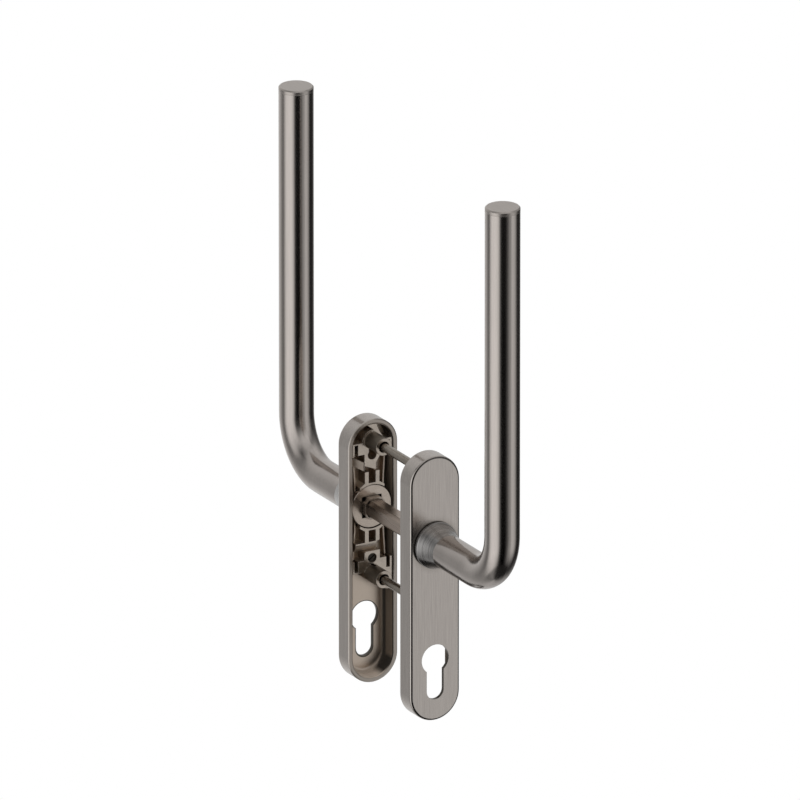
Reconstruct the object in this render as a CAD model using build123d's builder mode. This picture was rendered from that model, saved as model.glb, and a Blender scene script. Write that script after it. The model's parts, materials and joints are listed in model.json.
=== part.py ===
from build123d import *
import os

os.makedirs("parts", exist_ok=True)

# Driving dimensions, in millimetres.
# X runs across the plates, Y along the spindle through the door, and Z up. The front
# handle faces -Y and the rear handle +Y. Depths count outwards from the door's face.
front = -1
rear = 1
door_gap = 58.0

# Cover plates
plate_width = 32.0
plate_above_screws = 12.9
plate_below_cylinder = 12.8
plate_thickness = 12.4
cover_wall = 3.0
cover_floor = 2.2
outer_edge_radius = 1.4
rim_chamfer = 0.6
rim_inner_chamfer = 0.8
cavity_fillet = 2.5

# Opening for the lock cylinder
cylinder_drop = 69.0
cylinder_radius = 8.75
cylinder_slot_width = 11.0
cylinder_height = 33.0

# Levers
bar_diameter = 20.0
bar_wall = 2.0
bar_reach = 75.1
bar_top = 226.0
bend_radius = 30.0
cap_thickness = 2.5
cap_plug_length = 9.0
cap_edge = 0.7

# Necks
neck_root_radius = 13.7
neck_rim = 1.3
neck_rim_step = 0.3
neck_hollow = 0.2
neck_length = 14.4
shank_radius = 9.5
spigot_length = 18.0

# Spindle and square drive
spindle_size = 10.0
spindle_chamfer = 1.8
spindle_end_chamfer = 0.8
spindle_length = 104.0
tang_size = 12.6
tang_corner = 2.7
tang_reach = 2.5
drive_corner = 1.2

# Locking discs, thrust washers and bushes
disc_radius = 12.9
disc_depth = 1.6
disc_thickness = 3.5
disc_edge = 0.3
washer_thickness = 0.4
washer_width = 2.0
bush_wall = 1.0
bush_flange_width = 2.6
bush_flange_thickness = 0.4

# Clearances
running_gap = 0.05
seat_gap = 0.05
face_gap = 0.1
side_gap = 0.3
base_gap = 0.25
screw_gap = 0.25

# Base castings
base_recess = 1.0
base_floor = 1.4
hub_width = 2.1
waist_width = 21.6
waist_narrow = 19.4
waist_wall = 0.9
waist_depth = 4.8
housing_width = 16.0
housing_rim = 1.1
housing_top_width = 10.0
housing_corner = 2.0
rib_width = 2.5
rib_spacing = 7.0
rib_end = 21.2
web_end = 3.0
ramp_depth = 4.4
ramp_bulge = 1.0
boss_width = 10.0
channel_width = 4.4
snap_slot_width = 2.2
snap_slot_place = 10.3
snap_slot_length = 6.4

# Ends of the base castings; heights count from a fixing screw, away from the spindle
boss_foot = -13.2
boss_corner = 0.8
fan_foot = -18.0
fan_waist = -14.0
fan_shoulder = -10.0
fan_side = 2.5
brace_foot = -15.0
brace_top = -9.8
brace_drop = 3.1
end_foot = -8.0
channel_top = -4.0
short_side = -0.8
long_side = 12.0
long_side_slope = 1.6
upper_cut_inner = 1.0
upper_cut_outer = 5.5
upper_cut_foot = 6.0
upper_cut_top = 11.0
pocket_inner = 2.6
pocket_middle = 6.0
pocket_outer = 8.6
pocket_foot = -0.4
pocket_waist = 2.6

# Fixing screws and the posts that they enter
screw_pitch = 80.0
screw_diameter = 5.0
screw_length = 65.0
screw_tip_chamfer = 0.5
screw_head_diameter = 9.2
screw_head_height = 2.6
screw_head_round = 0.9
screw_socket = 3.0
screw_socket_depth = 1.8
post_radius = 5.1
post_reach = 12.4
post_mouth_radius = 3.3
post_mouth_length = 6.0
post_hole_end = 3.0
collar_radius = 6.2
notch_width = 1.9
notch_height = 1.8
notch_reach = 2.6

# Screw that holds the rear cover on its base, and the grub screws of the necks
small_screw_spacing = 8.8
small_screw_hole = 2.85
small_screw_diameter = 3.8
small_head_diameter = 4.8
small_head_height = 1.6
small_screw_bite = 1.4
small_screw_seat = 3.6
small_slot_width = 0.8
small_slot_depth = 0.7
small_slot_turn = 35.0
grub_diameter = 6.0
grub_place = 18.5
grub_length = 5.5
grub_edge = 0.6
grub_socket = 3.0
grub_socket_depth = 2.5

# Sizes that follow from the ones above
screw_place = screw_pitch / 2
small_screw_place = screw_place - small_screw_spacing
cylinder_slot_length = cylinder_height - cylinder_radius - cylinder_slot_width / 2
plate_top = screw_place + plate_above_screws
plate_bottom = cylinder_radius - cylinder_drop - cylinder_height - plate_below_cylinder
plate_height = plate_top - plate_bottom
plate_middle = (plate_top + plate_bottom) / 2
cavity_depth = plate_thickness - cover_floor
cavity_width = plate_width - 2 * cover_wall
bar_radius = bar_diameter / 2
bar_bore = bar_radius - bar_wall
bar_place = plate_thickness + bar_reach
spigot_radius = bar_bore - seat_gap
neck_root = plate_thickness + bush_flange_thickness + face_gap
neck_end = plate_thickness + neck_length
disc_end = disc_depth + disc_thickness
washer_start = disc_end + face_gap
hub_face = washer_start + washer_thickness + face_gap
base_back = cavity_depth - base_gap
base_face = base_back - base_floor
base_width = cavity_width - 2 * base_gap
bush_bore = shank_radius + running_gap
bush_radius = bush_bore + bush_wall
bush_hole = bush_radius + seat_gap
recess_radius = disc_radius + side_gap
cover_relief = recess_radius + side_gap / 2
housing_height = recess_radius + housing_rim
drive_hole = spindle_size + 2 * seat_gap
drive_end = spindle_length / 2 - door_gap / 2 + seat_gap
disc_opening = tang_size + 2 * seat_gap
boss_start = screw_place + boss_foot
fan_start = screw_place + fan_foot
end_start = screw_place + end_foot
end_short = screw_place + short_side
end_long = screw_place + long_side
end_cut = screw_place + upper_cut_top
channel_end = screw_place + channel_top
pocket_low = screw_place + pocket_foot
notch_place = screw_place - post_radius + notch_height / 2
screw_hole = screw_diameter / 2 + screw_gap
head_room = screw_head_diameter / 2 + screw_gap
head_start = base_back - face_gap - screw_head_height
socket_corner = 2 / 3**0.5


def outwards(side):
    return Axis((0, 0, 0), (0, side, 0))


def door_plane(side, depth=0.0):
    # Seen from inside the door: x across, y up, and the plate behind the plane
    place = (0, side * (door_gap / 2 + depth), 0)
    return Plane(origin=place, x_dir=(side, 0, 0), z_dir=(0, -side, 0))


def axial_plane(side):
    # Through the spindle's axis: x is the depth, y the height above the axis
    return Plane(origin=(0, side * door_gap / 2, 0), x_dir=(0, side, 0), z_dir=(side, 0, 0))


def level_plane(side, height):
    # Level at a height: x across as seen from inside the door, y the depth
    return Plane(origin=(0, side * door_gap / 2, height), x_dir=(side, 0, 0), z_dir=(0, 0, 1))


def save(part, name):
    part.label = name
    export_step(part, f"parts/{name}.step")


# Room inside a cover plate, less a gap all round
def make_cavity(side, gap):
    with BuildPart() as cavity:
        with BuildSketch(door_plane(side)):
            with Locations((0, plate_middle)):
                height = plate_height - 2 * cover_wall - 2 * gap
                SlotOverall(height, cavity_width - 2 * gap, rotation=90)
        extrude(amount=-(cavity_depth - gap))
        floor_face = cavity.faces().sort_by(outwards(side))[-1]
        fillet(floor_face.edges(), cavity_fillet - gap)
    return cavity.part


# Cover plate: a hollow stadium with openings for the neck and the lock cylinder
def make_cover(side):
    cavity = make_cavity(side, 0.0)
    with BuildPart() as cover:
        with BuildSketch(door_plane(side)):
            with Locations((0, plate_middle)):
                SlotOverall(plate_height, plate_width, rotation=90)
        extrude(amount=-plate_thickness)
        faces = cover.faces().sort_by(outwards(side))
        fillet(faces[-1].edges(), outer_edge_radius)
        chamfer(cover.faces().sort_by(outwards(side))[0].edges(), rim_chamfer)
        add(cavity, mode=Mode.SUBTRACT)
        rim = cover.faces().sort_by(outwards(side))[0]
        chamfer(rim.inner_wires()[0].edges(), rim_inner_chamfer)
        with BuildSketch(door_plane(side, rim_inner_chamfer)):
            Circle(cover_relief)
        extrude(amount=-(cavity_depth - rim_inner_chamfer), mode=Mode.SUBTRACT)
        with BuildSketch(door_plane(side)):
            Circle(bush_hole)
            with Locations((0, -cylinder_drop)):
                Circle(cylinder_radius)
            with Locations((0, -cylinder_drop - cylinder_slot_length / 2)):
                Rectangle(cylinder_slot_width, cylinder_slot_length)
            with Locations((0, -cylinder_drop - cylinder_slot_length)):
                Circle(cylinder_slot_width / 2)
        extrude(amount=-plate_thickness, mode=Mode.SUBTRACT)
        if side == rear:
            with BuildSketch(door_plane(side)):
                with Locations((0, -small_screw_place)):
                    Circle(small_screw_diameter / 2 + seat_gap)
            extrude(amount=-(cavity_depth + small_screw_bite + face_gap), mode=Mode.SUBTRACT)
    return cover.part


# Outline of a base beside the disc, a little narrower at the disc than at the ends
def waist_sketch(inset=0.0):
    wide = waist_width / 2 - inset
    narrow = waist_narrow / 2 - inset
    with BuildSketch() as waist:
        with BuildLine():
            Polyline(
                (narrow, housing_height), (wide, end_start), (-wide, end_start),
                (-narrow, housing_height), (-narrow, -housing_height), (-wide, -end_start),
                (wide, -end_start), (narrow, -housing_height), close=True,
            )
        make_face()
    return waist.sketch


# Flush ends of a base, long on one side of each post and cut short on the other
def ends_sketch():
    half = base_width / 2
    with BuildSketch() as ends:
        with BuildLine():
            Polyline(
                (-half, end_start), (-half, end_short), (-post_radius, end_short),
                (upper_cut_inner, screw_place + upper_cut_foot), (-upper_cut_outer, end_cut),
                (half, end_cut), (half, end_start), close=True,
            )
        make_face()
        with BuildLine():
            Polyline(
                (-half, -end_start), (-half, -end_short), (-post_radius, -end_short),
                (0, -screw_place - post_radius), (post_radius, -end_long + long_side_slope),
                (half, -end_long), (half, -end_start), close=True,
            )
        make_face()
    return ends.sketch


# Flush bosses of a base: the upper one spreads like a fan towards the right-hand rib
def bosses_sketch():
    half = boss_width / 2
    with BuildSketch() as bosses:
        with BuildLine():
            Polyline(
                (-half, end_start), (-half, fan_start + brace_drop), (fan_side, fan_start),
                (fan_side, screw_place + fan_waist), (half, screw_place + fan_shoulder),
                (half, end_start), close=True,
            )
        make_face()
        with Locations((0, screw_place)):
            Circle(collar_radius)
        with BuildLine():
            Polyline(
                (-half, -end_start), (half, -end_start), (half, -boss_start),
                (-half + boss_corner, -boss_start), (-half, -boss_start - boss_corner), close=True,
            )
        make_face()
    return bosses.sketch


# Housing round the disc, drawn whole; the disc's recess leaves its upper and lower rims
def housing_sketch():
    side = housing_width / 2
    top = housing_top_width / 2
    corner = housing_height - housing_corner
    with BuildSketch() as housing:
        with BuildLine():
            Polyline(
                (side, -corner), (side, corner), (top, housing_height),
                (-top, housing_height), (-side, corner), (-side, -corner),
                (-top, -housing_height), (top, -housing_height), close=True,
            )
        make_face()
    return housing.sketch


# Brace of a base, slanting from the waist wall down to the upper end of the left-hand rib
def make_brace(side):
    across = (waist_width - boss_width) / 2
    towards_door = waist_depth - base_recess
    way = Vector(side * across, -side * towards_door, -brace_drop)
    with BuildPart() as brace:
        with BuildSketch(axial_plane(side).offset(-waist_width / 2)):
            with BuildLine():
                Polyline(
                    (waist_depth, screw_place + brace_foot), (waist_depth, screw_place + brace_top),
                    (base_back + towards_door, screw_place + brace_top),
                    (base_back + towards_door, screw_place + brace_foot), close=True,
                )
            make_face()
        extrude(amount=way.length, dir=way)
    return brace.part


# Ramp of a base, from the lower ends of the ribs down to the lower boss, bulging outwards
def make_ramp(side):
    half = waist_width / 2
    with BuildPart() as ramp:
        with BuildSketch(axial_plane(side).offset(-half)):
            with BuildLine():
                middle = (
                    (base_recess + ramp_depth) / 2 - ramp_bulge, -(rib_end + boss_start) / 2
                )
                slope = ThreePointArc((base_recess, -rib_end), middle, (ramp_depth, -boss_start))
                Polyline(slope @ 1, (base_back, -boss_start), (base_back, -rib_end), slope @ 0)
            make_face()
        extrude(amount=half + web_end)
    return ramp.part


# Pockets, slots and holes of a base, as the room that they take
def make_pockets(side):
    with BuildPart() as pockets:
        with BuildSketch(door_plane(side)):
            with Locations((0, small_screw_place)):
                Circle(small_screw_hole)
            with Locations((0, (small_screw_place + channel_end) / 2)):
                Rectangle(channel_width, channel_end - small_screw_place)
            with BuildLine():
                inner = ThreePointArc(
                    (pocket_inner, end_cut), (pocket_middle, screw_place + pocket_waist),
                    (pocket_outer, pocket_low),
                )
                Polyline(inner @ 1, (base_width, pocket_low), (base_width, end_cut), inner @ 0)
            make_face()
        extrude(amount=-base_face)
        with BuildSketch(door_plane(side)):
            with Locations((0, -small_screw_place)):
                Circle(small_screw_hole)
        extrude(amount=-small_screw_seat)
        with BuildSketch(door_plane(side)):
            Circle(recess_radius)
        extrude(amount=-hub_face)
        with BuildSketch(door_plane(side)):
            Circle(bush_hole)
            with GridLocations(0, 2 * end_start + snap_slot_length, 1, 2):
                with GridLocations(2 * snap_slot_place, 0, 2, 1):
                    Rectangle(snap_slot_width, snap_slot_length)
            with Locations((0, -small_screw_place)):
                Circle(small_screw_diameter / 2 + screw_gap)
        extrude(amount=-plate_thickness)
    return pockets.part


# Posts of the rear base, which reach into the door and take the fixing screws
def make_posts(side):
    with BuildPart() as posts:
        with BuildSketch(door_plane(side, -post_reach)):
            with GridLocations(0, screw_pitch, 1, 2):
                Circle(post_radius)
        extrude(amount=-(post_reach + base_back))
    return posts.part


# Room for the fixing screws: threads in the rear posts, stepped holes in the front base
def make_screw_room(side):
    with BuildPart() as room:
        if side == rear:
            with BuildSketch(door_plane(side, -post_reach)):
                with GridLocations(0, screw_pitch, 1, 2):
                    Circle(post_mouth_radius)
            extrude(amount=-post_mouth_length)
            with BuildSketch(door_plane(side, -post_reach)):
                with GridLocations(0, screw_pitch, 1, 2):
                    Circle(screw_diameter / 2 + seat_gap)
            extrude(amount=-(post_reach + post_hole_end))
        else:
            with BuildSketch(door_plane(side)):
                with GridLocations(0, screw_pitch, 1, 2):
                    Circle(screw_hole)
            extrude(amount=-plate_thickness)
            with BuildSketch(door_plane(side, head_start)):
                with GridLocations(0, screw_pitch, 1, 2):
                    Circle(head_room)
            extrude(amount=-plate_thickness)
    return room.part


# Base casting: floor and hub, waist walls, ribs, brace, ramp, bosses and flush ends
def make_base(side):
    with BuildPart() as base:
        with BuildSketch(door_plane(side, base_face)):
            add(waist_sketch())
            add(ends_sketch())
        extrude(amount=-base_floor)
        with BuildSketch(door_plane(side, waist_depth)):
            add(waist_sketch())
            add(waist_sketch(waist_wall), mode=Mode.SUBTRACT)
        extrude(amount=-(base_face - waist_depth))
        with BuildSketch(door_plane(side, base_recess)):
            add(ends_sketch())
            add(housing_sketch())
            add(bosses_sketch())
            with GridLocations(rib_spacing, rib_end + disc_radius, 2, 2):
                Rectangle(rib_width, rib_end - disc_radius)
        extrude(amount=-(base_back - base_recess))
        add(make_brace(side))
        add(make_ramp(side))
        with BuildSketch(door_plane(side, hub_face)):
            Circle(bush_hole + hub_width)
        extrude(amount=-(base_back - hub_face))
        add(make_pockets(side), mode=Mode.SUBTRACT)
        add(make_cavity(side, base_gap), mode=Mode.INTERSECT)
        if side == rear:
            add(make_posts(side))
            with BuildSketch(door_plane(side, -notch_reach)):
                with Locations((0, -notch_place)):
                    Rectangle(notch_width, notch_height)
            extrude(amount=-(notch_reach + base_face), mode=Mode.SUBTRACT)
        add(make_screw_room(side), mode=Mode.SUBTRACT)
    return base.part


# Neck of a lever: shank and square tang, rimmed root, bell and the bar's spigot
def make_neck(side):
    with BuildPart() as neck:
        with BuildSketch(axial_plane(side)):
            with BuildLine():
                rim_end = neck_root + neck_rim
                bell_start = (rim_end, neck_root_radius - neck_rim_step)
                bell_end = (neck_end, bar_radius)
                bell_middle = (
                    (rim_end + neck_end) / 2,
                    (bell_start[1] + bell_end[1]) / 2 - neck_hollow,
                )
                Polyline(
                    (neck_end, bar_radius), (neck_end, spigot_radius),
                    (neck_end + spigot_length, spigot_radius), (neck_end + spigot_length, 0),
                    (disc_end, 0), (disc_end, shank_radius), (neck_root, shank_radius),
                    (neck_root, neck_root_radius), (rim_end, neck_root_radius), bell_start,
                )
                ThreePointArc(bell_start, bell_middle, bell_end)
            make_face()
        revolve(axis=Axis.Y)
        with BuildSketch(door_plane(side, -tang_reach)):
            tang = Rectangle(tang_size, tang_size)
            chamfer(tang.vertices(), tang_corner)
        extrude(amount=-(disc_end + tang_reach))
        with BuildSketch(door_plane(side, -tang_reach)):
            drive = Rectangle(drive_hole, drive_hole)
            chamfer(drive.vertices(), drive_corner)
        extrude(amount=-(drive_end + tang_reach), mode=Mode.SUBTRACT)
        with BuildSketch(level_plane(side, 0)):
            with Locations((0, grub_place)):
                Circle(grub_diameter / 2 + seat_gap)
        extrude(amount=-neck_root_radius, mode=Mode.SUBTRACT)
    return neck.part


# Bar of a lever: one bent tube from the neck's shoulder to its cap
def make_lever(side):
    with BuildPart() as lever:
        with BuildLine(axial_plane(side)) as path:
            arm = Line((neck_end, 0), (bar_place - bend_radius, 0))
            bend = CenterArc((bar_place - bend_radius, bend_radius), bend_radius, -90, 90)
            Line(bend @ 1, (bar_place, bar_top - cap_thickness))
        with BuildSketch(Plane(origin=path.wires()[0] @ 0, z_dir=path.wires()[0] % 0)):
            Circle(bar_radius)
            Circle(bar_bore, mode=Mode.SUBTRACT)
        sweep()
    return lever.part


# Cap in the bar's upper end
def make_cap(side):
    with BuildPart() as cap:
        place = Plane(origin=(0, side * (door_gap / 2 + bar_place), bar_top - cap_thickness))
        with BuildSketch(place):
            Circle(bar_radius)
        extrude(amount=cap_thickness)
        chamfer(cap.edges().group_by(Axis.Z)[-1], cap_edge)
        with BuildSketch(place):
            Circle(bar_bore - seat_gap)
        extrude(amount=-cap_plug_length)
        chamfer(cap.edges().group_by(Axis.Z)[0], cap_edge)
    return cap.part


# Locking disc on the tang's square
def make_disc(side):
    with BuildPart() as disc:
        with BuildSketch(door_plane(side, disc_depth)):
            Circle(disc_radius)
        extrude(amount=-disc_thickness)
        door_face = disc.faces().sort_by(outwards(side))[0]
        chamfer(door_face.edges(), disc_edge)
        with BuildSketch(door_plane(side, disc_depth)):
            Rectangle(disc_opening, disc_opening)
        extrude(amount=-disc_thickness, mode=Mode.SUBTRACT)
    return disc.part


def make_washer(side):
    with BuildPart() as washer:
        with BuildSketch(door_plane(side, washer_start)):
            Circle(shank_radius + side_gap + washer_width)
            Circle(shank_radius + side_gap, mode=Mode.SUBTRACT)
        extrude(amount=-washer_thickness)
    return washer.part


# Flanged bush that the neck turns in, through the base's hub and the cover
def make_bush(side):
    with BuildPart() as bush:
        with BuildSketch(door_plane(side, hub_face)):
            Circle(bush_radius)
        extrude(amount=-(plate_thickness - hub_face))
        with BuildSketch(door_plane(side, plate_thickness)):
            Circle(bush_radius + bush_flange_width)
        extrude(amount=-bush_flange_thickness)
        with BuildSketch(door_plane(side, hub_face)):
            Circle(bush_bore)
        extrude(amount=-plate_thickness, mode=Mode.SUBTRACT)
    return bush.part


# Square spindle with chamfered edges, right through the door
def make_spindle():
    with BuildPart() as spindle:
        with BuildSketch(Plane.XZ):
            square = Rectangle(spindle_size, spindle_size)
            chamfer(square.vertices(), spindle_chamfer)
        extrude(amount=spindle_length / 2, both=True)
        ends = spindle.faces().sort_by(Axis.Y)
        chamfer(ends[0].edges() + ends[-1].edges(), spindle_end_chamfer)
    return spindle.part


# Fixing screw from the front base through the door into a post of the rear base
def make_screw(height):
    with BuildPart() as screw:
        head_plane = door_plane(front, head_start)
        with BuildSketch(head_plane):
            with Locations((0, height)):
                Circle(screw_head_diameter / 2)
        extrude(amount=-screw_head_height)
        outer_face = screw.faces().sort_by(Axis.Y)[0]
        fillet(outer_face.edges(), screw_head_round)
        with BuildSketch(head_plane):
            with Locations((0, height)):
                Circle(screw_diameter / 2)
        extrude(amount=screw_length)
        chamfer(screw.edges().sort_by(Axis.Y)[-1], screw_tip_chamfer)
        with BuildSketch(head_plane.offset(-screw_head_height)):
            with Locations((0, height)):
                RegularPolygon(screw_socket / 2 * socket_corner, 6)
        extrude(amount=screw_socket_depth, mode=Mode.SUBTRACT)
    return screw.part


# Slotted screw from the rear base into the floor of its cover
def make_small_screw():
    with BuildPart() as screw:
        with BuildSketch(door_plane(rear, small_screw_seat)):
            with Locations((0, -small_screw_place)):
                Circle(small_head_diameter / 2)
        extrude(amount=small_head_height)
        with BuildSketch(door_plane(rear, small_screw_seat)):
            with Locations((0, -small_screw_place)):
                Circle(small_screw_diameter / 2)
        extrude(amount=-(cavity_depth + small_screw_bite - small_screw_seat))
        with BuildSketch(door_plane(rear, small_screw_seat - small_head_height)):
            with Locations((0, -small_screw_place)):
                Rectangle(small_head_diameter, small_slot_width, rotation=small_slot_turn)
        extrude(amount=-small_slot_depth, mode=Mode.SUBTRACT)
    return screw.part


# Grub screw under a neck, against the spindle
def make_grub(side):
    with BuildPart() as grub:
        with BuildSketch(level_plane(side, -spindle_size / 2 - seat_gap)):
            with Locations((0, grub_place)):
                Circle(grub_diameter / 2)
        extrude(amount=-grub_length)
        chamfer(grub.edges().group_by(Axis.Z)[-1], grub_edge)
        with BuildSketch(level_plane(side, -spindle_size / 2 - seat_gap - grub_length)):
            with Locations((0, grub_place)):
                RegularPolygon(grub_socket / 2 * socket_corner, 6)
        extrude(amount=grub_socket_depth, mode=Mode.SUBTRACT)
    return grub.part


for side, name in ((front, "front"), (rear, "rear")):
    save(make_cover(side), f"{name}_cover")
    save(make_base(side), f"{name}_base")
    save(make_bush(side), f"{name}_bush")
    save(make_washer(side), f"{name}_thrust_washer")
    save(make_disc(side), f"{name}_locking_disc")
    save(make_neck(side), f"{name}_neck")
    save(make_lever(side), f"{name}_lever")
    save(make_cap(side), f"{name}_end_cap")
    save(make_grub(side), f"{name}_grub_screw")
save(make_spindle(), "spindle")
save(make_screw(screw_place), "upper_fixing_screw")
save(make_screw(-screw_place), "lower_fixing_screw")
save(make_small_screw(), "rear_cover_screw")
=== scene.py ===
import bpy
import bmesh
import json
from math import cos, radians, sin
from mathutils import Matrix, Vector


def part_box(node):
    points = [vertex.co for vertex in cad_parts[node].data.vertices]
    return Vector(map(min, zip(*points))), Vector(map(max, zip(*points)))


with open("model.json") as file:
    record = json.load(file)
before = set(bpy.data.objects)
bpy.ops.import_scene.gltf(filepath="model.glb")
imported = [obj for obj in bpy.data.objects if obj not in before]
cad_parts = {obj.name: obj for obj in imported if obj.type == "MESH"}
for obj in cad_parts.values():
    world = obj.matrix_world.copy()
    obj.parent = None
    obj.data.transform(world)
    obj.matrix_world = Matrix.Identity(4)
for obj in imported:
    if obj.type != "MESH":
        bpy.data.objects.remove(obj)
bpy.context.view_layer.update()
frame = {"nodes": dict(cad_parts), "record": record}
print("frame loaded:", len(frame["nodes"]), "nodes")

# Camera, far off with a long lens, at the photograph's angle
cameraView = {
    "azimuth": -29.9,        # degrees round from the front, seen from above
    "elevation": 20.2,
    "distance": 15.07,       # metres from the spindle
    "lens": 1200.0,          # millimetres, on a sensor 36 wide
    "sensor": 36.0,
    "frame": 800,            # pixels each way
    "spindleAt": (398.7, 522.4),   # pixel where the middle of the spindle lies
    "clip": (1.0, 60.0),     # metres
}


def makeCamera(view):
    azimuth, elevation = radians(view["azimuth"]), radians(view["elevation"])
    back = Vector((sin(azimuth) * cos(elevation), -cos(azimuth) * cos(elevation), sin(elevation)))
    right = Vector((0, 0, 1)).cross(back).normalized()
    up = back.cross(right)
    metresPerPixel = view["distance"] * view["sensor"] / view["lens"] / view["frame"]
    across = (view["frame"] / 2 - view["spindleAt"][0]) * metresPerPixel
    upward = (view["spindleAt"][1] - view["frame"] / 2) * metresPerPixel
    data = bpy.data.cameras.new("camera")
    data.lens = view["lens"]
    data.sensor_width = view["sensor"]
    data.clip_start, data.clip_end = view["clip"]
    camera = bpy.data.objects.new("camera", data)
    camera.location = right * across + up * upward + back * view["distance"]
    camera.rotation_mode = "QUATERNION"
    camera.rotation_quaternion = back.to_track_quat("Z", "Y")
    bpy.context.scene.collection.objects.link(camera)
    bpy.context.scene.camera = camera


makeCamera(cameraView)
print("camera made")

# Studio: a white floor and sky, and round the object a set of walls with a ground and a roof
# that only mirrors and light see. Their glow goes by azimuth, in degrees to the right of the
# camera. Where one names another as above, its glow turns into that one's on the way up, from
# its foot or from the height turnsAt.
studio = {
    "floorHeight": -1.05,
    "floorRadius": 9.0,
    "floorSegments": 64,
    "floorColour": (0.62, 0.62, 0.61),
    "worldColour": (0.62, 0.62, 0.62),
    "surround": ("ground", "nearWall", "lowWall", "fadeWall", "highWall", "roof"),
    "surroundSegments": 96,
    "ground": {
        "lowRadius": 0.01, "highRadius": 0.7, "foot": -1.049, "top": -1.048,
        "glow": (
            (-180, 0.55), (-150, 0.55), (-130, 0.50), (-110, 0.38), (-90, 0.24), (-70, 0.20),
            (-50, 0.34), (-30, 0.12), (-10, 0.02), (100, 0.02), (115, 0.10), (130, 0.24),
            (150, 0.46), (180, 0.55),
        ),
    },
    "nearWall": {
        "lowRadius": 0.7, "highRadius": 1.15, "foot": -1.048, "top": -0.70, "above": "lowWall",
        "glow": (
            (-180, 0.62), (-150, 0.56), (-130, 0.52), (-110, 0.38), (-90, 0.26), (-80, 0.40),
            (-68, 0.66), (-50, 0.82), (-30, 0.50), (-12, 0.06), (0, 0.0), (30, 0.0), (60, 0.06),
            (90, 0.03), (115, 0.04), (130, 0.17), (150, 0.50), (180, 0.62),
        ),
    },
    "lowWall": {
        "lowRadius": 1.15, "highRadius": 1.9, "foot": -0.70, "top": -0.36,
        "glow": (
            (-180, 0.70), (-150, 0.78), (-122, 0.46), (-104, 0.20), (-92, 0.20), (-79, 0.78),
            (-66, 1.02), (-34, 1.02), (-21, 0.72), (-12, 0.10), (-4, 0.0), (22, 0.0),
            (36, 0.12), (47, 0.40), (58, 0.66), (76, 0.68), (90, 0.40), (102, 0.02),
            (130, 0.02), (150, 0.12), (166, 0.50), (180, 0.70),
        ),
    },
    "fadeWall": {
        "lowRadius": 1.9, "highRadius": 1.9, "foot": -0.36, "top": 1.75, "above": "highWall",
        "turnsAt": 0.15,
        "glow": (
            (-180, 0.70), (-150, 0.74), (-122, 0.50), (-104, 0.26), (-92, 0.24), (-79, 0.74),
            (-66, 0.98), (-34, 0.98), (-21, 0.70), (-12, 0.12), (-4, 0.04), (22, 0.04),
            (36, 0.14), (47, 0.40), (58, 0.64), (76, 0.64), (90, 0.30), (102, 0.06),
            (130, 0.06), (150, 0.16), (166, 0.50), (180, 0.68),
        ),
    },
    "highWall": {
        "lowRadius": 1.9, "highRadius": 1.8, "foot": 1.75, "top": 2.2,
        "glow": (
            (-180, 0.60), (-130, 0.58), (-112, 0.52), (-95, 0.22), (-72, 0.10), (-52, 0.34),
            (-35, 0.55), (-12, 0.53), (10, 0.62), (30, 0.70), (72, 0.70), (90, 0.30), (106, 0.26),
            (128, 0.56), (150, 0.66), (180, 0.62),
        ),
    },
    "roof": {
        "lowRadius": 1.8, "highRadius": 0.01, "foot": 2.2, "top": 2.21, "above": "zenith",
        "glow": (
            (-180, 0.60), (-130, 0.58), (-110, 0.54), (-90, 0.28), (-72, 0.12), (-50, 0.18),
            (-30, 0.38), (-10, 0.57), (10, 0.67), (72, 0.67), (90, 0.42), (110, 0.48),
            (130, 0.65), (150, 0.68), (180, 0.60),
        ),
    },
    "zenith": {"glow": ((-180, 0.54), (180, 0.54))},
    "topLight": {"height": 1.7, "size": 1.6, "power": 14.0},
}


def newTree(owner):
    owner.use_nodes = True
    tree = owner.node_tree
    tree.nodes.clear()
    return tree


def feed(tree, socket, value):
    # A colour or a number is set on the socket, and anything else is linked to it
    if isinstance(value, tuple):
        socket.default_value = (*value, 1)
    elif isinstance(value, (int, float)):
        socket.default_value = value
    else:
        tree.links.new(value, socket)


def mathNode(tree, operation, first, second=None, clamp=False):
    node = tree.nodes.new("ShaderNodeMath")
    node.operation = operation
    node.use_clamp = clamp
    feed(tree, node.inputs[0], first)
    if second is not None:
        feed(tree, node.inputs[1], second)
    return node.outputs[0]


def mixNode(tree, kind, factor, first, second):
    node = tree.nodes.new("ShaderNodeMix")
    node.data_type = kind
    for label, value in (("Factor", factor), ("A", first), ("B", second)):
        feed(tree, next(s for s in node.inputs if s.name == label and s.enabled), value)
    return next(s for s in node.outputs if s.enabled)


def mixColour(tree, factor, first, second):
    return mixNode(tree, "RGBA", factor, first, second)


def mixValue(tree, factor, first, second):
    return mixNode(tree, "FLOAT", factor, first, second)


def mapRange(tree, value, span, newSpan=(0.0, 1.0)):
    node = tree.nodes.new("ShaderNodeMapRange")
    node.inputs["From Min"].default_value, node.inputs["From Max"].default_value = span
    node.inputs["To Min"].default_value, node.inputs["To Max"].default_value = newSpan
    tree.links.new(value, node.inputs["Value"])
    return node.outputs["Result"]


def splitVector(tree, vector):
    node = tree.nodes.new("ShaderNodeSeparateXYZ")
    tree.links.new(vector, node.inputs[0])
    return node.outputs


def objectPlace(tree):
    return tree.nodes.new("ShaderNodeTexCoord").outputs["Object"]


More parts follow.
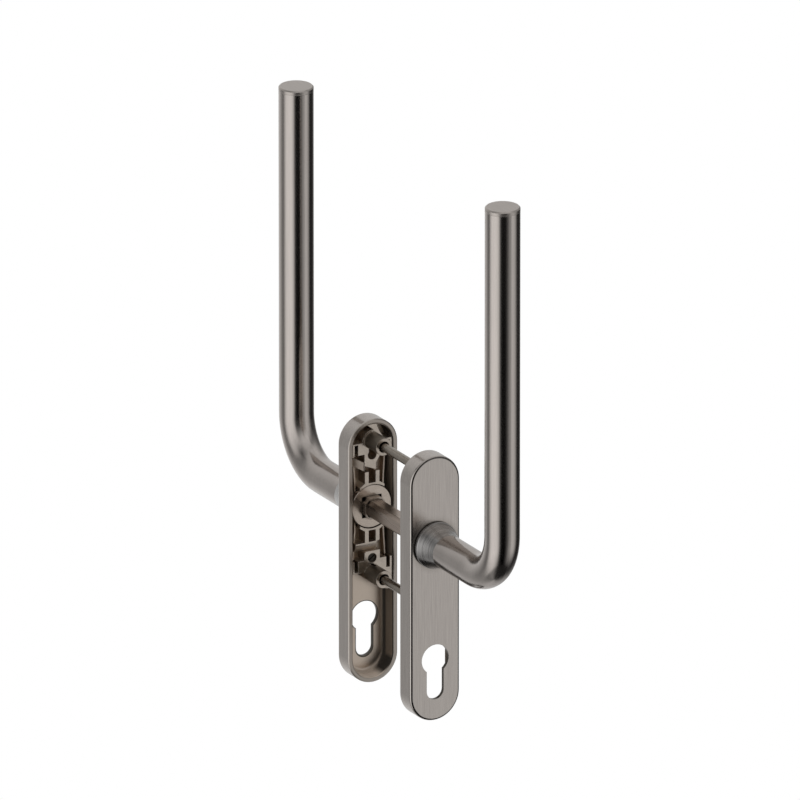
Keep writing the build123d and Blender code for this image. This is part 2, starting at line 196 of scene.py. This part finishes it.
def whiteForCamera(tree, shader, output):
    # White for the camera and in reflections, the plain shader for the rest
    path = tree.nodes.new("ShaderNodeLightPath")
    seen = mathNode(tree, "MAXIMUM", path.outputs["Is Camera Ray"], path.outputs["Is Glossy Ray"])
    seen = mathNode(tree, "MAXIMUM", seen, path.outputs["Is Transmission Ray"])
    kind = "Background" if shader.type == "BACKGROUND" else "Emission"
    white = tree.nodes.new("ShaderNode" + kind)
    white.inputs["Color"].default_value = (1, 1, 1, 1)
    white.inputs["Strength"].default_value = 1.0
    mix = tree.nodes.new("ShaderNodeMixShader")
    tree.links.new(seen, mix.inputs[0])
    tree.links.new(shader.outputs[0], mix.inputs[1])
    tree.links.new(white.outputs[0], mix.inputs[2])
    tree.links.new(mix.outputs[0], output.inputs["Surface"])


def meshObject(name, shape):
    mesh = bpy.data.meshes.new(name)
    shape.to_mesh(mesh)
    shape.free()
    piece = bpy.data.objects.new(name, mesh)
    bpy.context.scene.collection.objects.link(piece)
    return piece


def makeFloor(settings):
    shape = bmesh.new()
    bmesh.ops.create_circle(
        shape, cap_ends=True, segments=settings["floorSegments"], radius=settings["floorRadius"]
    )
    bmesh.ops.translate(shape, vec=(0, 0, settings["floorHeight"]), verts=shape.verts)
    floor = meshObject("floor", shape)
    material = bpy.data.materials.new("floorPaper")
    tree = newTree(material)
    paper = tree.nodes.new("ShaderNodeBsdfDiffuse")
    paper.inputs["Color"].default_value = (*settings["floorColour"], 1)
    whiteForCamera(tree, paper, tree.nodes.new("ShaderNodeOutputMaterial"))
    floor.data.materials.append(material)


def azimuthGlow(tree, azimuth, glow):
    # The ramp's own two steps are the first and the last of the glow
    ramp = tree.nodes.new("ShaderNodeValToRGB")
    steps = ramp.color_ramp.elements
    for degrees, level in glow:
        where = 0.5 + degrees / 360
        step = steps[0] if degrees == -180 else steps[-1] if degrees == 180 else steps.new(where)
        step.color = (level, level, level, 1)
    tree.links.new(azimuth, ramp.inputs["Fac"])
    return ramp.outputs["Color"]


def makeWall(name, settings):
    own = settings[name]
    low, high = own["foot"], own["top"]
    shape = bmesh.new()
    bmesh.ops.create_cone(
        shape, cap_ends=False, segments=settings["surroundSegments"], radius1=own["lowRadius"],
        radius2=own["highRadius"], depth=high - low,
    )
    bmesh.ops.translate(shape, vec=(0, 0, (high + low) / 2), verts=shape.verts)
    wall = meshObject(name, shape)
    material = bpy.data.materials.new(name)
    tree = newTree(material)
    place = objectPlace(tree)
    # Turned so that the middle of the radial gradient, azimuth 0, points to the camera
    turn = tree.nodes.new("ShaderNodeMapping")
    turn.inputs["Rotation"].default_value = (0, 0, radians(90.0 - cameraView["azimuth"]))
    radial = tree.nodes.new("ShaderNodeTexGradient")
    radial.gradient_type = "RADIAL"
    tree.links.new(place, turn.inputs["Vector"])
    tree.links.new(turn.outputs["Vector"], radial.inputs["Vector"])
    level = azimuthGlow(tree, radial.outputs["Fac"], own["glow"])
    if "above" in own:
        rise = mapRange(tree, splitVector(tree, place)["Z"], (own.get("turnsAt", low), high))
        above = azimuthGlow(tree, radial.outputs["Fac"], settings[own["above"]]["glow"])
        level = mixColour(tree, rise, level, above)
    glow = tree.nodes.new("ShaderNodeEmission")
    output = tree.nodes.new("ShaderNodeOutputMaterial")
    tree.links.new(level, glow.inputs["Color"])
    tree.links.new(glow.outputs[0], output.inputs["Surface"])
    wall.data.materials.append(material)
    wall.visible_camera = False
    wall.visible_shadow = False


def makeTopLight(settings):
    data = bpy.data.lights.new("topLight", "AREA")
    data.shape = "SQUARE"
    data.size = settings["size"]
    data.energy = settings["power"]
    light = bpy.data.objects.new("topLight", data)
    light.location = (0, 0, settings["height"])
    light.visible_camera = False
    light.visible_glossy = False
    bpy.context.scene.collection.objects.link(light)


def makeSky(settings):
    world = bpy.data.worlds.new("surroundings")
    bpy.context.scene.world = world
    tree = newTree(world)
    plain = tree.nodes.new("ShaderNodeBackground")
    plain.inputs["Color"].default_value = (*settings["worldColour"], 1)
    whiteForCamera(tree, plain, tree.nodes.new("ShaderNodeOutputWorld"))


makeFloor(studio)
for pieceName in studio["surround"]:
    makeWall(pieceName, studio)
makeTopLight(studio["topLight"])
makeSky(studio)
bpy.context.scene.view_settings.view_transform = "Standard"
print("studio made")


# Effects that several finishes share
numberSocket, vectorSocket = "NodeSocketFloat", "NodeSocketVector"


def newGroup(name, inputs, outputs):
    group = bpy.data.node_groups.new(name, "ShaderNodeTree")
    for label, kind, value in inputs:
        socket = group.interface.new_socket(label, in_out="INPUT", socket_type=kind)
        if value is not None:
            socket.default_value = value
    for label, kind in outputs:
        group.interface.new_socket(label, in_out="OUTPUT", socket_type=kind)
    start = group.nodes.new("NodeGroupInput")
    end = group.nodes.new("NodeGroupOutput")
    return group, start.outputs, end.inputs


def noiseNode(tree, vector, scale, detail, roughness):
    node = tree.nodes.new("ShaderNodeTexNoise")
    feed(tree, node.inputs["Vector"], vector)
    feed(tree, node.inputs["Scale"], scale)
    feed(tree, node.inputs["Detail"], detail)
    feed(tree, node.inputs["Roughness"], roughness)
    return node.outputs["Fac"]


def brushedGroup():
    # Fine parallel lines with broader bands between them
    group, start, end = newGroup(
        "brushedLines",
        (("Vector", vectorSocket, None), ("Line Scale", numberSocket, 900.0),
         ("Band Scale", numberSocket, 90.0), ("Band Share", numberSocket, 0.4)),
        (("Lines", numberSocket), ("Bands", numberSocket), ("Mask", numberSocket)),
    )
    lines = noiseNode(group, start["Vector"], start["Line Scale"], detail=3.0, roughness=0.6)
    bands = noiseNode(group, start["Vector"], start["Band Scale"], detail=2.0, roughness=0.5)
    group.links.new(lines, end["Lines"])
    group.links.new(bands, end["Bands"])
    group.links.new(mixValue(group, start["Band Share"], lines, bands), end["Mask"])
    return group


def grainGroup():
    # Cast skin: fine grains over soft blotches
    group, start, end = newGroup(
        "castGrain",
        (("Vector", vectorSocket, None), ("Grain Scale", numberSocket, 2600.0),
         ("Blotch Scale", numberSocket, 160.0)),
        (("Grain", numberSocket), ("Blotches", numberSocket)),
    )
    grain = noiseNode(group, start["Vector"], start["Grain Scale"], detail=3.0, roughness=0.65)
    blotches = noiseNode(group, start["Vector"], start["Blotch Scale"], detail=3.0, roughness=0.5)
    group.links.new(grain, end["Grain"])
    group.links.new(blotches, end["Blotches"])
    return group


def edgeGroup(samples=4):
    # How near an edge is, for rubbing and a painted highlight along edges: 1 on the edge itself, 0
    # away from it
    group, start, end = newGroup(
        "edgeWearAndGlint",
        (("Width", numberSocket, 0.0004), ("Strength", numberSocket, 1.0)),
        (("WearAndGlint", numberSocket), ("Normal", vectorSocket)),
    )
    bevel = group.nodes.new("ShaderNodeBevel")
    bevel.samples = samples
    group.links.new(start["Width"], bevel.inputs["Radius"])
    geometry = group.nodes.new("ShaderNodeNewGeometry")
    dot = group.nodes.new("ShaderNodeVectorMath")
    dot.operation = "DOT_PRODUCT"
    group.links.new(bevel.outputs["Normal"], dot.inputs[0])
    group.links.new(geometry.outputs["Normal"], dot.inputs[1])
    away = mathNode(group, "SUBTRACT", 1.0, dot.outputs["Value"])
    group.links.new(mathNode(group, "MULTIPLY", away, start["Strength"], clamp=True), end["WearAndGlint"])
    group.links.new(bevel.outputs["Normal"], end["Normal"])
    return group


def creaseGroup(samples=6):
    # How open a spot lies, from ambient occlusion, for painted shade: 0 deep in a corner, 1 out in
    # the open
    group, start, end = newGroup(
        "creaseShade",
        (("Reach", numberSocket, 0.004), ("Power", numberSocket, 1.0)),
        (("Open", numberSocket),),
    )
    around = group.nodes.new("ShaderNodeAmbientOcclusion")
    around.samples = samples
    group.links.new(start["Reach"], around.inputs["Distance"])
    group.links.new(mathNode(group, "POWER", around.outputs["AO"], start["Power"]), end["Open"])
    return group


groups = {
    "brushed": brushedGroup(), "grain": grainGroup(),
    "edge": edgeGroup(), "paintedCreaseShade": creaseGroup(),
}


def placeGroup(tree, name, **values):
    node = tree.nodes.new("ShaderNodeGroup")
    node.node_tree = groups[name]
    for label, value in values.items():
        node.inputs[label.replace("_", " ")].default_value = value
    return node


def shadeCreases(tree, colour, paintedCreaseShade):
    # Painted shade: the colour darkens towards the deep colour where a spot lies closed in
    reach, power, deep = paintedCreaseShade
    openness = placeGroup(tree, "paintedCreaseShade", Reach=reach, Power=power).outputs["Open"]
    return mixColour(tree, openness, deep, colour)


def stretched(tree, stretch):
    mapping = tree.nodes.new("ShaderNodeMapping")
    mapping.inputs["Scale"].default_value = stretch
    tree.links.new(objectPlace(tree), mapping.inputs["Vector"])
    return mapping.outputs["Vector"]


def principledShader(tree, metallic):
    shader = tree.nodes.new("ShaderNodeBsdfPrincipled")
    shader.inputs["Metallic"].default_value = metallic
    output = tree.nodes.new("ShaderNodeOutputMaterial")
    tree.links.new(shader.outputs[0], output.inputs["Surface"])
    return shader


def connectSurface(tree, shader, finish, colour, rough, height, normal):
    # Painted shade in corners and creases, for the finishes that have it
    if "paintedCreaseShade" in finish:
        colour = shadeCreases(tree, colour, finish["paintedCreaseShade"])
    bump = tree.nodes.new("ShaderNodeBump")
    bump.inputs["Distance"].default_value = finish["bump"]
    bump.inputs["Strength"].default_value = finish["bumpStrength"]
    tree.links.new(height, bump.inputs["Height"])
    tree.links.new(normal, bump.inputs["Normal"])
    tree.links.new(colour, shader.inputs["Base Color"])
    tree.links.new(rough, shader.inputs["Roughness"])
    tree.links.new(bump.outputs["Normal"], shader.inputs["Normal"])


# Where most of a noise lies, and most of two noises added
noiseSpread = (0.3, 0.7)
sumSpread = (0.8, 1.2)

# Places that the masks go by, in metres, from the frame. Depths count from the middle of the door.
plateLow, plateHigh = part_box("rear_cover")
plateEnd = plateHigh.x                      # radius of the plates' round ends
doorFace, plateFace = plateLow.y, plateHigh.y
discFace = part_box("rear_locking_disc")[1].y
castingFace = -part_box("front_base")[1].y    # flush faces of the castings
opening = next(m for m in frame["record"]["mounts"] if m["name"] == "rear_cylinder_opening")
openingHeight, openingRadius = opening["pos_m"][2], opening["dims"]["r_mm"] / 1000

# Room inside the covers, round a line from low to high: brown, with duller upright walls and
# painted shade on the left flank, darkest on its corner. Each of these fades over a range of the
# normal's lean.
coverRoom = {
    "low": plateLow.z + plateEnd,
    "high": plateHigh.z - plateEnd,
    "radius": plateEnd - 0.0012,        # ends inside the rim
    "depth": plateFace - 0.0021,        # ends just past the room's floor
    "colour": (0.72, 0.62, 0.525), "rough": 0.36,
    "wallLean": (0.60, 0.95), "wallRough": 0.9, "wallMetallic": 0.3,
    "flankLean": (0.40, 0.90), "shade": (0.20, 0.155, 0.115),
    "cornerRise": (0.30, 0.60), "cornerFall": (0.94, 0.99), "corner": (0.04, 0.033, 0.026),
}

# Narrow parts of the covers painted dark: a painted dark reflection on the facet round the outer
# face, and painted shade on the walls and inner edge of the cylinder opening, a circle above a
# slot
paintedFacetReflection = {
    "start": plateFace - 0.0004,
    "end": plateFace - 0.00001,         # leaves out the face itself
    "colour": (0.10, 0.093, 0.087), "rough": 0.14,
}
paintedOpeningShade = {
    "high": openingHeight,
    "low": openingHeight - 0.01925,     # length of the slot's middle line
    "wide": openingRadius + 0.0005,
    "narrow": 0.0060,
    "depth": plateFace - 0.00005,       # leaves out the face itself
    "colour": (0.10, 0.09, 0.075), "rough": 0.30,
}

# The covers' rims on the door, and the last of their outer walls, are a little dull
coverRim = {
    "start": doorFace - 0.0005,
    "end": doorFace + 0.0003,
    "colour": (0.44, 0.395, 0.35), "rough": 0.30,
}

# The necks' squares inside the door are brown like the discs
neckTang = {
    "start": 0.0,
    "end": discFace - 0.0006,
    "colour": (0.50, 0.43, 0.37), "rough": 0.26,
}

# Finishes with a grain of lines. A low stretch draws the lines out along that axis, the entry for
# creases is the reach, power and colour of painted shade in corners, and edges lighten towards
# their rubbed colour, partly from rubbing and partly as a painted highlight.
brushedFinishes = {
    "coverSatin": {
        "dark": (0.48, 0.44, 0.41), "light": (0.60, 0.555, 0.515), "wornAndGlint": (0.70, 0.66, 0.62),
        "rough": (0.17, 0.24), "stretch": (1.0, 1.0, 0.03),
        "lineScale": 1500.0, "bandScale": 400.0, "bandShare": 0.3,
        "bump": 0.00002, "bumpStrength": 0.35, "edge": 0.0002, "wearAndGlintStrength": 0.3,
        "parts": (
            ("room", coverRoom), ("opening", paintedOpeningShade),
            ("band", paintedFacetReflection), ("band", coverRim),
        ),
        "paintedCreaseShade": (0.004, 1.0, (0.20, 0.17, 0.14)),
    },
    "barSatin": {
        "dark": (0.49, 0.45, 0.42), "light": (0.58, 0.53, 0.495), "wornAndGlint": (0.70, 0.66, 0.62),
        "rough": (0.15, 0.22), "stretch": (1.0, 1.0, 0.04),
        "lineScale": 1200.0, "bandScale": 120.0, "bandShare": 0.5,
        "bump": 0.00002, "bumpStrength": 0.25, "edge": 0.0003, "wearAndGlintStrength": 1.0,
    },
    "neckTurned": {
        "dark": (0.27, 0.262, 0.257), "light": (0.60, 0.583, 0.568), "wornAndGlint": (0.62, 0.60, 0.58),
        "rough": (0.20, 0.30), "stretch": (0.03, 1.0, 0.03),
        "lineScale": 1900.0, "bandScale": 700.0, "bandShare": 0.5,
        "bump": 0.00004, "bumpStrength": 0.5, "edge": 0.0002, "wearAndGlintStrength": 0.6,
        "contrast": (0.34, 0.68), "parts": (("band", neckTang),),
        "paintedCreaseShade": (0.006, 0.8, (0.05, 0.05, 0.05)),
    },
    "capFace": {
        "dark": (0.46, 0.42, 0.39), "light": (0.58, 0.535, 0.495), "wornAndGlint": (0.72, 0.68, 0.64),
        "rough": (0.26, 0.38), "stretch": (1.0, 0.06, 1.0),
        "lineScale": 1200.0, "bandScale": 140.0, "bandShare": 0.5,
        "bump": 0.00002, "bumpStrength": 0.3, "edge": 0.0003, "wearAndGlintStrength": 1.2,
    },
    "spindleDrawn": {
        "dark": (0.38, 0.315, 0.265), "light": (0.55, 0.46, 0.395), "wornAndGlint": (0.66, 0.57, 0.49),
        "rough": (0.22, 0.34), "stretch": (1.0, 0.04, 1.0),
        "lineScale": 1400.0, "bandScale": 200.0, "bandShare": 0.5,
        "bump": 0.00002, "bumpStrength": 0.4, "edge": 0.0004, "wearAndGlintStrength": 1.2,
        "paintedCreaseShade": (0.012, 1.2, (0.05, 0.04, 0.03)),
    },
    "screwPlated": {
        "dark": (0.28, 0.25, 0.21), "light": (0.42, 0.375, 0.325), "wornAndGlint": (0.56, 0.51, 0.45),
        "rough": (0.20, 0.30), "stretch": (1.0, 1.0, 1.0),
        "lineScale": 900.0, "bandScale": 250.0, "bandShare": 0.5,
        "bump": 0.00002, "bumpStrength": 0.3, "edge": 0.0002, "wearAndGlintStrength": 1.0,
    },
}


def depthValue(tree):
    # Distance from the middle of the door, the same on both sides
    return mathNode(tree, "ABSOLUTE", splitVector(tree, objectPlace(tree))["Y"])


def normalAxes(tree):
    return splitVector(tree, tree.nodes.new("ShaderNodeNewGeometry").outputs["Normal"])


def nearLine(tree, low, high, radius):
    # 1 within the radius of an upright line on the plates' middle, seen along the spindle
    axes = splitVector(tree, objectPlace(tree))
    nearest = mathNode(tree, "MINIMUM", mathNode(tree, "MAXIMUM", axes["Z"], low), high)
    upward = mathNode(tree, "SUBTRACT", axes["Z"], nearest)
    upward = mathNode(tree, "MULTIPLY", upward, upward)
    across = mathNode(tree, "MULTIPLY", axes["X"], axes["X"])
    return mathNode(tree, "LESS_THAN", mathNode(tree, "ADD", across, upward), radius ** 2)


def partMask(tree, kind, part):
    depth = depthValue(tree)
    if kind == "band":
        inside = mathNode(tree, "GREATER_THAN", depth, part["start"])
        return mathNode(tree, "MULTIPLY", inside, mathNode(tree, "LESS_THAN", depth, part["end"]))
    if kind == "room":
        near = nearLine(tree, part["low"], part["high"], part["radius"])
    else:
        circle = nearLine(tree, part["high"], part["high"], part["wide"])
        slot = nearLine(tree, part["low"], part["high"], part["narrow"])
        near = mathNode(tree, "MAXIMUM", circle, slot)
    return mathNode(tree, "MULTIPLY", near, mathNode(tree, "LESS_THAN", depth, part["depth"]))


def wallMask(tree, lean):
    # 1 on walls that stand along the spindle's direction, 0 on faces square to it
    return mapRange(tree, mathNode(tree, "ABSOLUTE", normalAxes(tree)["Y"]), lean, (1.0, 0.0))


def flankMasks(tree, part):
    # Where painted shade goes: 1 on what faces left, and 1 on the middle of the fillet that leads
    # to it
    leftward = mathNode(tree, "MULTIPLY", normalAxes(tree)["X"], -1.0)
    flank = mapRange(tree, leftward, part["flankLean"])
    rising = mapRange(tree, leftward, part["cornerRise"])
    falling = mapRange(tree, leftward, part["cornerFall"], (1.0, 0.0))
    return flank, mathNode(tree, "MULTIPLY", rising, falling)


def shadeRoom(tree, shader, part, mask, colour, rough):
    # Painted shade on the flank and its corner, and walls that are duller than the floor
    flank, corner = flankMasks(tree, part)
    colour = mixColour(tree, mathNode(tree, "MULTIPLY", mask, flank), colour, part["shade"])
    colour = mixColour(tree, mathNode(tree, "MULTIPLY", mask, corner), colour, part["corner"])
    upright = mathNode(tree, "MULTIPLY", mask, wallMask(tree, part["wallLean"]))
    rough = mixValue(tree, upright, rough, part["wallRough"])
    dull = mathNode(tree, "MULTIPLY", upright, 1.0 - part["wallMetallic"])
    tree.links.new(mathNode(tree, "SUBTRACT", 1.0, dull), shader.inputs["Metallic"])
    return colour, rough


def brushedMaterial(name, finish):
    material = bpy.data.materials.new(name)
    tree = newTree(material)
    shader = principledShader(tree, metallic=1.0)
    lines = placeGroup(
        tree, "brushed", Line_Scale=finish["lineScale"], Band_Scale=finish["bandScale"],
        Band_Share=finish["bandShare"],
    )
    tree.links.new(stretched(tree, finish["stretch"]), lines.inputs["Vector"])
    edge = placeGroup(tree, "edge", Width=finish["edge"], Strength=finish["wearAndGlintStrength"])
    mask = mapRange(tree, lines.outputs["Mask"], finish.get("contrast", noiseSpread))
    colour = mixColour(tree, mask, finish["dark"], finish["light"])
    # Edges lighten towards their rubbed colour: partly rubbing, partly a painted highlight
    colour = mixColour(tree, edge.outputs["WearAndGlint"], colour, finish["wornAndGlint"])
    rough = mapRange(tree, lines.outputs["Bands"], noiseSpread, finish["rough"])
    for kind, part in finish.get("parts", ()):
        mask = partMask(tree, kind, part)
        colour = mixColour(tree, mask, colour, part["colour"])
        rough = mixValue(tree, mask, rough, part["rough"])
        if kind == "room":
            colour, rough = shadeRoom(tree, shader, part, mask, colour, rough)
    height, normal = lines.outputs["Lines"], edge.outputs["Normal"]
    connectSurface(tree, shader, finish, colour, rough, height, normal)
    return material


# Finishes with a cast or moulded skin. The castings' own faces have their colour, the walls that
# stand along the spindle are darker as painted shade, and what lies behind the flush faces is
# lighter as painted light, less on its walls and most where these face up.
castFinishes = {
    "castBrown": {
        "dark": (0.45, 0.395, 0.34), "light": (0.59, 0.52, 0.45), "wornAndGlint": (0.66, 0.59, 0.52),
        "rough": (0.18, 0.26), "metallic": 1.0, "grainScale": 1500.0, "blotchScale": 260.0,
        "bump": 0.00005, "bumpStrength": 0.5, "edge": 0.0004, "wearAndGlintStrength": 1.0,
        "recessDepth": castingFace + 0.0003, "recess": (0.80, 0.70, 0.60), "recessRough": 0.50,
        "wallLean": (0.25, 0.55), "wall": (0.22, 0.19, 0.155), "wallRough": 0.40,
        "paintedRecessWallLight": (0.36, 0.285, 0.215), "upperLean": (0.25, 0.85), "upper": (0.62, 0.54, 0.45),
    },
    "discSintered": {
        "dark": (0.50, 0.43, 0.37), "light": (0.60, 0.52, 0.45), "wornAndGlint": (0.66, 0.59, 0.52),
        "rough": (0.20, 0.28), "metallic": 1.0, "paintedCreaseShade": (0.002, 1.0, (0.02, 0.015, 0.01)),
        "grainScale": 2200.0, "blotchScale": 220.0,
        "bump": 0.00003, "bumpStrength": 0.4, "edge": 0.0003, "wearAndGlintStrength": 1.0,
    },
    "screwBlack": {
        "dark": (0.035, 0.03, 0.025), "light": (0.065, 0.06, 0.05), "wornAndGlint": (0.14, 0.13, 0.11),
        "rough": (0.30, 0.42), "metallic": 1.0, "grainScale": 1800.0, "blotchScale": 300.0,
        "bump": 0.00002, "bumpStrength": 0.3, "edge": 0.0002, "wearAndGlintStrength": 0.8,
    },
    "bushBlack": {
        "dark": (0.035, 0.035, 0.036), "light": (0.06, 0.06, 0.062), "wornAndGlint": (0.09, 0.09, 0.09),
        "rough": (0.40, 0.55), "metallic": 0.0, "grainScale": 1800.0, "blotchScale": 200.0,
        "bump": 0.00002, "bumpStrength": 0.3, "edge": 0.0002, "wearAndGlintStrength": 0.6,
    },
    "washerNylon": {
        "dark": (0.60, 0.58, 0.54), "light": (0.76, 0.74, 0.70), "wornAndGlint": (0.82, 0.80, 0.76),
        "rough": (0.40, 0.50), "metallic": 0.0, "grainScale": 1800.0, "blotchScale": 200.0,
        "bump": 0.00002, "bumpStrength": 0.3, "edge": 0.0001, "wearAndGlintStrength": 0.5,
    },
}


def shadeRecesses(tree, finish, colour, rough):
    # Painted shade on upright walls, painted light on the recesses behind the flush faces, and in
    # these on the walls and, most, on what faces up
    deep = mathNode(tree, "GREATER_THAN", depthValue(tree), finish["recessDepth"])
    upright = wallMask(tree, finish["wallLean"])
    paintedRecessWallLight = mathNode(tree, "MULTIPLY", deep, upright)
    upper = mapRange(tree, normalAxes(tree)["Z"], finish["upperLean"])
    colour = mixColour(tree, deep, colour, finish["recess"])
    colour = mixColour(tree, upright, colour, finish["wall"])
    colour = mixColour(tree, paintedRecessWallLight, colour, finish["paintedRecessWallLight"])
    colour = mixColour(tree, mathNode(tree, "MULTIPLY", paintedRecessWallLight, upper), colour, finish["upper"])
    rough = mixValue(tree, upright, rough, finish["wallRough"])
    return colour, mixValue(tree, deep, rough, finish["recessRough"])


def castMaterial(name, finish):
    material = bpy.data.materials.new(name)
    tree = newTree(material)
    shader = principledShader(tree, finish["metallic"])
    grain = placeGroup(
        tree, "grain", Grain_Scale=finish["grainScale"], Blotch_Scale=finish["blotchScale"]
    )
    tree.links.new(objectPlace(tree), grain.inputs["Vector"])
    edge = placeGroup(tree, "edge", Width=finish["edge"], Strength=finish["wearAndGlintStrength"])
    both = mathNode(tree, "ADD", grain.outputs["Grain"], grain.outputs["Blotches"])
    colour = mixColour(tree, mapRange(tree, both, sumSpread), finish["dark"], finish["light"])
    # Edges lighten towards their rubbed colour: partly rubbing, partly a painted highlight
    colour = mixColour(tree, edge.outputs["WearAndGlint"], colour, finish["wornAndGlint"])
    rough = mapRange(tree, grain.outputs["Blotches"], noiseSpread, finish["rough"])
    # Painted shade on upright walls and painted light in the recesses
    if "recess" in finish:
        colour, rough = shadeRecesses(tree, finish, colour, rough)
    height, normal = grain.outputs["Grain"], edge.outputs["Normal"]
    connectSurface(tree, shader, finish, colour, rough, height, normal)
    return material


finishes = {name: brushedMaterial(name, finish) for name, finish in brushedFinishes.items()}
finishes.update({name: castMaterial(name, finish) for name, finish in castFinishes.items()})
print("finishes made:", len(finishes))

# Which finish each piece of the frame gets, by the end of its name
pieceFinish = {
    "cover": "coverSatin", "base": "castBrown", "bush": "bushBlack",
    "thrust_washer": "washerNylon", "locking_disc": "discSintered", "neck": "neckTurned",
    "lever": "barSatin", "end_cap": "capFace", "spindle": "spindleDrawn",
    "grub_screw": "screwPlated", "fixing_screw": "screwPlated", "cover_screw": "screwBlack",
}


def dressNodes(nodes):
    for name, piece in nodes.items():
        finish = next(f for ending, f in pieceFinish.items() if name.endswith(ending))
        for slot in piece.material_slots:
            slot.material = finishes[finish]


dressNodes(frame["nodes"])
print("nodes dressed")
